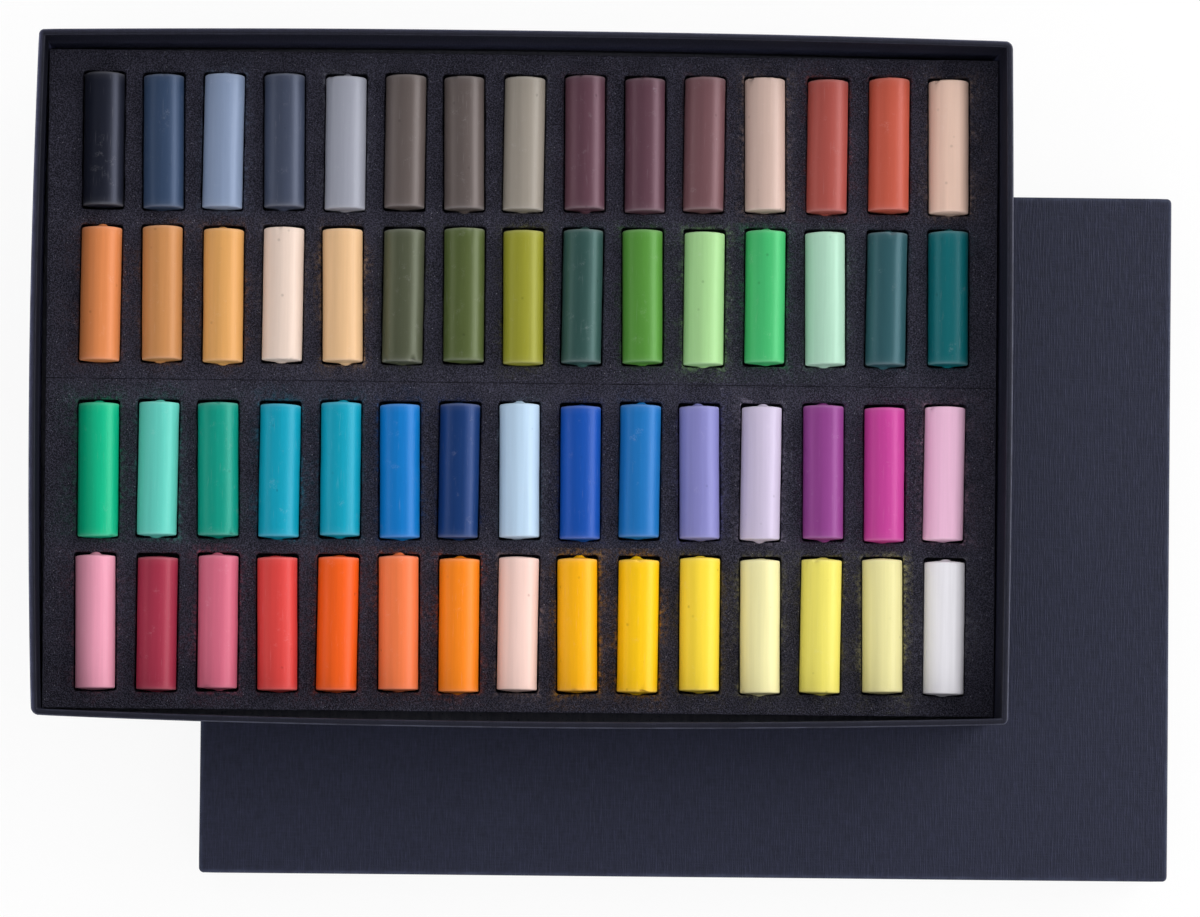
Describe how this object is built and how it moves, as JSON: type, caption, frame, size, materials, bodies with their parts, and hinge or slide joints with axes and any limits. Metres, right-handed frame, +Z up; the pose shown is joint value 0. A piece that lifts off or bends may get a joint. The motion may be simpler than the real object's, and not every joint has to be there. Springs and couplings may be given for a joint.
{
  "type": "soft pastel box",
  "caption": "Papered set-up box of half-length soft pastels: open tray with slotted foam and loose round sticks, standing on its lift-off lid.",
  "frame": {"origin": "under the middle of the whole set, on the surface that the lid lies on", "axes": "+X to the right along the box's long side, +Y to the back across the stick rows, +Z up"},
  "size_m": [0.2962, 0.2164, 0.047],
  "materials": {
    "greyboard": "matte",
    "gummed_paper": "matte",
    "linen_paper": "satin",
    "smooth_paper": "satin",
    "black_foam": "matte",
    "pastel_beige": "matte",
    "pastel_blue_black": "matte",
    "pastel_fog_blue": "matte",
    "pastel_indigo": "matte",
    "pastel_iron_red": "matte",
    "pastel_khaki": "matte",
    "pastel_maroon": "matte",
    "pastel_mauve_brown": "matte",
    "pastel_pale_peach": "matte",
    "pastel_slate_blue": "matte",
    "pastel_umber": "matte",
    "pastel_warm_grey": "matte",
    "pastel_cream": "matte",
    "pastel_grass_green": "matte",
    "pastel_grey_green": "matte",
    "pastel_leaf_green": "matte",
    "pastel_light_ochre": "matte",
    "pastel_ochre": "matte",
    "pastel_olive": "matte",
    "pastel_pale_mint": "matte",
    "pastel_salmon": "matte",
    "pastel_spring_green": "matte",
    "pastel_viridian": "matte",
    "pastel_yellow_olive": "matte",
    "pastel_azure": "matte",
    "pastel_bright_green": "matte",
    "pastel_cobalt": "matte",
    "pastel_lavender": "matte",
    "pastel_lilac": "matte",
    "pastel_magenta": "matte",
    "pastel_mint": "matte",
    "pastel_pink": "matte",
    "pastel_prussian_blue": "matte",
    "pastel_purple": "matte",
    "pastel_sea_green": "matte",
    "pastel_sky_blue": "matte",
    "pastel_turquoise": "matte",
    "pastel_ultramarine": "matte",
    "pastel_apricot": "matte",
    "pastel_blush": "matte",
    "pastel_carmine": "matte",
    "pastel_coral": "matte",
    "pastel_deep_yellow": "matte",
    "pastel_lemon": "matte",
    "pastel_lime_yellow": "matte",
    "pastel_naples_yellow": "matte",
    "pastel_orange": "matte",
    "pastel_orange_red": "matte",
    "pastel_rose": "matte",
    "pastel_white": "matte",
    "pastel_yellow": "matte"
  },
  "bodies": {
    "lid": {"lid_board": "greyboard", "lid_corner_stays": "gummed_paper", "lid_wrap": "linen_paper"},
    "tray": {"tray_board": "greyboard", "tray_corner_stays": "gummed_paper", "tray_wrap": "smooth_paper", "foam_base": "black_foam", "foam_pad_back": "black_foam", "foam_pad_front": "black_foam"},
    "pastel_beige": {"stick_row1_beige": "pastel_beige"},
    "pastel_blue_black": {"stick_row1_blue_black": "pastel_blue_black"},
    "pastel_fog_blue": {"stick_row1_fog_blue": "pastel_fog_blue"},
    "pastel_indigo": {"stick_row1_indigo": "pastel_indigo"},
    "pastel_iron_red": {"stick_row1_iron_red": "pastel_iron_red"},
    "pastel_khaki": {"stick_row1_khaki": "pastel_khaki"},
    "pastel_maroon": {"stick_row1_maroon": "pastel_maroon"},
    "pastel_mauve_brown": {"stick_row1_mauve_brown": "pastel_mauve_brown"},
    "pastel_pale_peach": {"stick_row1_pale_peach": "pastel_pale_peach"},
    "pastel_slate_blue": {"stick_row1_slate_blue": "pastel_slate_blue"},
    "pastel_umber": {"stick_row1_umber": "pastel_umber"},
    "pastel_warm_grey": {"stick_row1_warm_grey": "pastel_warm_grey"},
    "pastel_cream": {"stick_row2_cream": "pastel_cream"},
    "pastel_grass_green": {"stick_row2_grass_green": "pastel_grass_green"},
    "pastel_grey_green": {"stick_row2_grey_green": "pastel_grey_green"},
    "pastel_leaf_green": {"stick_row2_leaf_green": "pastel_leaf_green"},
    "pastel_light_ochre": {"stick_row2_light_ochre": "pastel_light_ochre"},
    "pastel_ochre": {"stick_row2_ochre": "pastel_ochre"},
    "pastel_olive": {"stick_row2_olive": "pastel_olive"},
    "pastel_pale_mint": {"stick_row2_pale_mint": "pastel_pale_mint"},
    "pastel_salmon": {"stick_row2_salmon": "pastel_salmon"},
    "pastel_spring_green": {"stick_row2_spring_green": "pastel_spring_green"},
    "pastel_viridian": {"stick_row2_viridian": "pastel_viridian"},
    "pastel_yellow_olive": {"stick_row2_yellow_olive": "pastel_yellow_olive"},
    "pastel_azure": {"stick_row3_azure": "pastel_azure"},
    "pastel_bright_green": {"stick_row3_bright_green": "pastel_bright_green"},
    "pastel_cobalt": {"stick_row3_cobalt": "pastel_cobalt"},
    "pastel_lavender": {"stick_row3_lavender": "pastel_lavender"},
    "pastel_lilac": {"stick_row3_lilac": "pastel_lilac"},
    "pastel_magenta": {"stick_row3_magenta": "pastel_magenta"},
    "pastel_mint": {"stick_row3_mint": "pastel_mint"},
    "pastel_pink": {"stick_row3_pink": "pastel_pink"},
    "pastel_prussian_blue": {"stick_row3_prussian_blue": "pastel_prussian_blue"},
    "pastel_purple": {"stick_row3_purple": "pastel_purple"},
    "pastel_sea_green": {"stick_row3_sea_green": "pastel_sea_green"},
    "pastel_sky_blue": {"stick_row3_sky_blue": "pastel_sky_blue"},
    "pastel_turquoise": {"stick_row3_turquoise": "pastel_turquoise"},
    "pastel_ultramarine": {"stick_row3_ultramarine": "pastel_ultramarine"},
    "pastel_apricot": {"stick_row4_apricot": "pastel_apricot"},
    "pastel_blush": {"stick_row4_blush": "pastel_blush"},
    "pastel_carmine": {"stick_row4_carmine": "pastel_carmine"},
    "pastel_coral": {"stick_row4_coral": "pastel_coral"},
    "pastel_deep_yellow": {"stick_row4_deep_yellow": "pastel_deep_yellow"},
    "pastel_lemon": {"stick_row4_lemon": "pastel_lemon"},
    "pastel_lime_yellow": {"stick_row4_lime_yellow": "pastel_lime_yellow"},
    "pastel_naples_yellow": {"stick_row4_naples_yellow": "pastel_naples_yellow"},
    "pastel_orange": {"stick_row4_orange": "pastel_orange"},
    "pastel_orange_red": {"stick_row4_orange_red": "pastel_orange_red"},
    "pastel_rose": {"stick_row4_rose": "pastel_rose"},
    "pastel_white": {"stick_row4_white": "pastel_white"},
    "pastel_yellow": {"stick_row4_yellow": "pastel_yellow"}
  },
  "joints": [
    {"name": "tray_lift_off", "type": "slide", "parent": "lid", "child": "tray", "axis": [0, 0, 1], "range_m": [0, 0.06]},
    {"name": "lift_beige", "type": "slide", "parent": "tray", "child": "pastel_beige", "axis": [0, 0, 1], "range_m": [0, 0.03]},
    {"name": "lift_blue_black", "type": "slide", "parent": "tray", "child": "pastel_blue_black", "axis": [0, 0, 1], "range_m": [0, 0.03]},
    {"name": "lift_fog_blue", "type": "slide", "parent": "tray", "child": "pastel_fog_blue", "axis": [0, 0, 1], "range_m": [0, 0.03]},
    {"name": "lift_indigo", "type": "slide", "parent": "tray", "child": "pastel_indigo", "axis": [0, 0, 1], "range_m": [0, 0.03]},
    {"name": "lift_iron_red", "type": "slide", "parent": "tray", "child": "pastel_iron_red", "axis": [0, 0, 1], "range_m": [0, 0.03]},
    {"name": "lift_khaki", "type": "slide", "parent": "tray", "child": "pastel_khaki", "axis": [0, 0, 1], "range_m": [0, 0.03]},
    {"name": "lift_maroon", "type": "slide", "parent": "tray", "child": "pastel_maroon", "axis": [0, 0, 1], "range_m": [0, 0.03]},
    {"name": "lift_mauve_brown", "type": "slide", "parent": "tray", "child": "pastel_mauve_brown", "axis": [0, 0, 1], "range_m": [0, 0.03]},
    {"name": "lift_pale_peach", "type": "slide", "parent": "tray", "child": "pastel_pale_peach", "axis": [0, 0, 1], "range_m": [0, 0.03]},
    {"name": "lift_slate_blue", "type": "slide", "parent": "tray", "child": "pastel_slate_blue", "axis": [0, 0, 1], "range_m": [0, 0.03]},
    {"name": "lift_umber", "type": "slide", "parent": "tray", "child": "pastel_umber", "axis": [0, 0, 1], "range_m": [0, 0.03]},
    {"name": "lift_warm_grey", "type": "slide", "parent": "tray", "child": "pastel_warm_grey", "axis": [0, 0, 1], "range_m": [0, 0.03]},
    {"name": "lift_cream", "type": "slide", "parent": "tray", "child": "pastel_cream", "axis": [0, 0, 1], "range_m": [0, 0.03]},
    {"name": "lift_grass_green", "type": "slide", "parent": "tray", "child": "pastel_grass_green", "axis": [0, 0, 1], "range_m": [0, 0.03]},
    {"name": "lift_grey_green", "type": "slide", "parent": "tray", "child": "pastel_grey_green", "axis": [0, 0, 1], "range_m": [0, 0.03]},
    {"name": "lift_leaf_green", "type": "slide", "parent": "tray", "child": "pastel_leaf_green", "axis": [0, 0, 1], "range_m": [0, 0.03]},
    {"name": "lift_light_ochre", "type": "slide", "parent": "tray", "child": "pastel_light_ochre", "axis": [0, 0, 1], "range_m": [0, 0.03]},
    {"name": "lift_ochre", "type": "slide", "parent": "tray", "child": "pastel_ochre", "axis": [0, 0, 1], "range_m": [0, 0.03]},
    {"name": "lift_olive", "type": "slide", "parent": "tray", "child": "pastel_olive", "axis": [0, 0, 1], "range_m": [0, 0.03]},
    {"name": "lift_pale_mint", "type": "slide", "parent": "tray", "child": "pastel_pale_mint", "axis": [0, 0, 1], "range_m": [0, 0.03]},
    {"name": "lift_salmon", "type": "slide", "parent": "tray", "child": "pastel_salmon", "axis": [0, 0, 1], "range_m": [0, 0.03]},
    {"name": "lift_spring_green", "type": "slide", "parent": "tray", "child": "pastel_spring_green", "axis": [0, 0, 1], "range_m": [0, 0.03]},
    {"name": "lift_viridian", "type": "slide", "parent": "tray", "child": "pastel_viridian", "axis": [0, 0, 1], "range_m": [0, 0.03]},
    {"name": "lift_yellow_olive", "type": "slide", "parent": "tray", "child": "pastel_yellow_olive", "axis": [0, 0, 1], "range_m": [0, 0.03]},
    {"name": "lift_azure", "type": "slide", "parent": "tray", "child": "pastel_azure", "axis": [0, 0, 1], "range_m": [0, 0.03]},
    {"name": "lift_bright_green", "type": "slide", "parent": "tray", "child": "pastel_bright_green", "axis": [0, 0, 1], "range_m": [0, 0.03]},
    {"name": "lift_cobalt", "type": "slide", "parent": "tray", "child": "pastel_cobalt", "axis": [0, 0, 1], "range_m": [0, 0.03]},
    {"name": "lift_lavender", "type": "slide", "parent": "tray", "child": "pastel_lavender", "axis": [0, 0, 1], "range_m": [0, 0.03]},
    {"name": "lift_lilac", "type": "slide", "parent": "tray", "child": "pastel_lilac", "axis": [0, 0, 1], "range_m": [0, 0.03]},
    {"name": "lift_magenta", "type": "slide", "parent": "tray", "child": "pastel_magenta", "axis": [0, 0, 1], "range_m": [0, 0.03]},
    {"name": "lift_mint", "type": "slide", "parent": "tray", "child": "pastel_mint", "axis": [0, 0, 1], "range_m": [0, 0.03]},
    {"name": "lift_pink", "type": "slide", "parent": "tray", "child": "pastel_pink", "axis": [0, 0, 1], "range_m": [0, 0.03]},
    {"name": "lift_prussian_blue", "type": "slide", "parent": "tray", "child": "pastel_prussian_blue", "axis": [0, 0, 1], "range_m": [0, 0.03]},
    {"name": "lift_purple", "type": "slide", "parent": "tray", "child": "pastel_purple", "axis": [0, 0, 1], "range_m": [0, 0.03]},
    {"name": "lift_sea_green", "type": "slide", "parent": "tray", "child": "pastel_sea_green", "axis": [0, 0, 1], "range_m": [0, 0.03]},
    {"name": "lift_sky_blue", "type": "slide", "parent": "tray", "child": "pastel_sky_blue", "axis": [0, 0, 1], "range_m": [0, 0.03]},
    {"name": "lift_turquoise", "type": "slide", "parent": "tray", "child": "pastel_turquoise", "axis": [0, 0, 1], "range_m": [0, 0.03]},
    {"name": "lift_ultramarine", "type": "slide", "parent": "tray", "child": "pastel_ultramarine", "axis": [0, 0, 1], "range_m": [0, 0.03]},
    {"name": "lift_apricot", "type": "slide", "parent": "tray", "child": "pastel_apricot", "axis": [0, 0, 1], "range_m": [0, 0.03]},
    {"name": "lift_blush", "type": "slide", "parent": "tray", "child": "pastel_blush", "axis": [0, 0, 1], "range_m": [0, 0.03]},
    {"name": "lift_carmine", "type": "slide", "parent": "tray", "child": "pastel_carmine", "axis": [0, 0, 1], "range_m": [0, 0.03]},
    {"name": "lift_coral", "type": "slide", "parent": "tray", "child": "pastel_coral", "axis": [0, 0, 1], "range_m": [0, 0.03]},
    {"name": "lift_deep_yellow", "type": "slide", "parent": "tray", "child": "pastel_deep_yellow", "axis": [0, 0, 1], "range_m": [0, 0.03]},
    {"name": "lift_lemon", "type": "slide", "parent": "tray", "child": "pastel_lemon", "axis": [0, 0, 1], "range_m": [0, 0.03]},
    {"name": "lift_lime_yellow", "type": "slide", "parent": "tray", "child": "pastel_lime_yellow", "axis": [0, 0, 1], "range_m": [0, 0.03]},
    {"name": "lift_naples_yellow", "type": "slide", "parent": "tray", "child": "pastel_naples_yellow", "axis": [0, 0, 1], "range_m": [0, 0.03]},
    {"name": "lift_orange", "type": "slide", "parent": "tray", "child": "pastel_orange", "axis": [0, 0, 1], "range_m": [0, 0.03]},
    {"name": "lift_orange_red", "type": "slide", "parent": "tray", "child": "pastel_orange_red", "axis": [0, 0, 1], "range_m": [0, 0.03]},
    {"name": "lift_rose", "type": "slide", "parent": "tray", "child": "pastel_rose", "axis": [0, 0, 1], "range_m": [0, 0.03]},
    {"name": "lift_white", "type": "slide", "parent": "tray", "child": "pastel_white", "axis": [0, 0, 1], "range_m": [0, 0.03]},
    {"name": "lift_yellow", "type": "slide", "parent": "tray", "child": "pastel_yellow", "axis": [0, 0, 1], "range_m": [0, 0.03]}
  ]
}
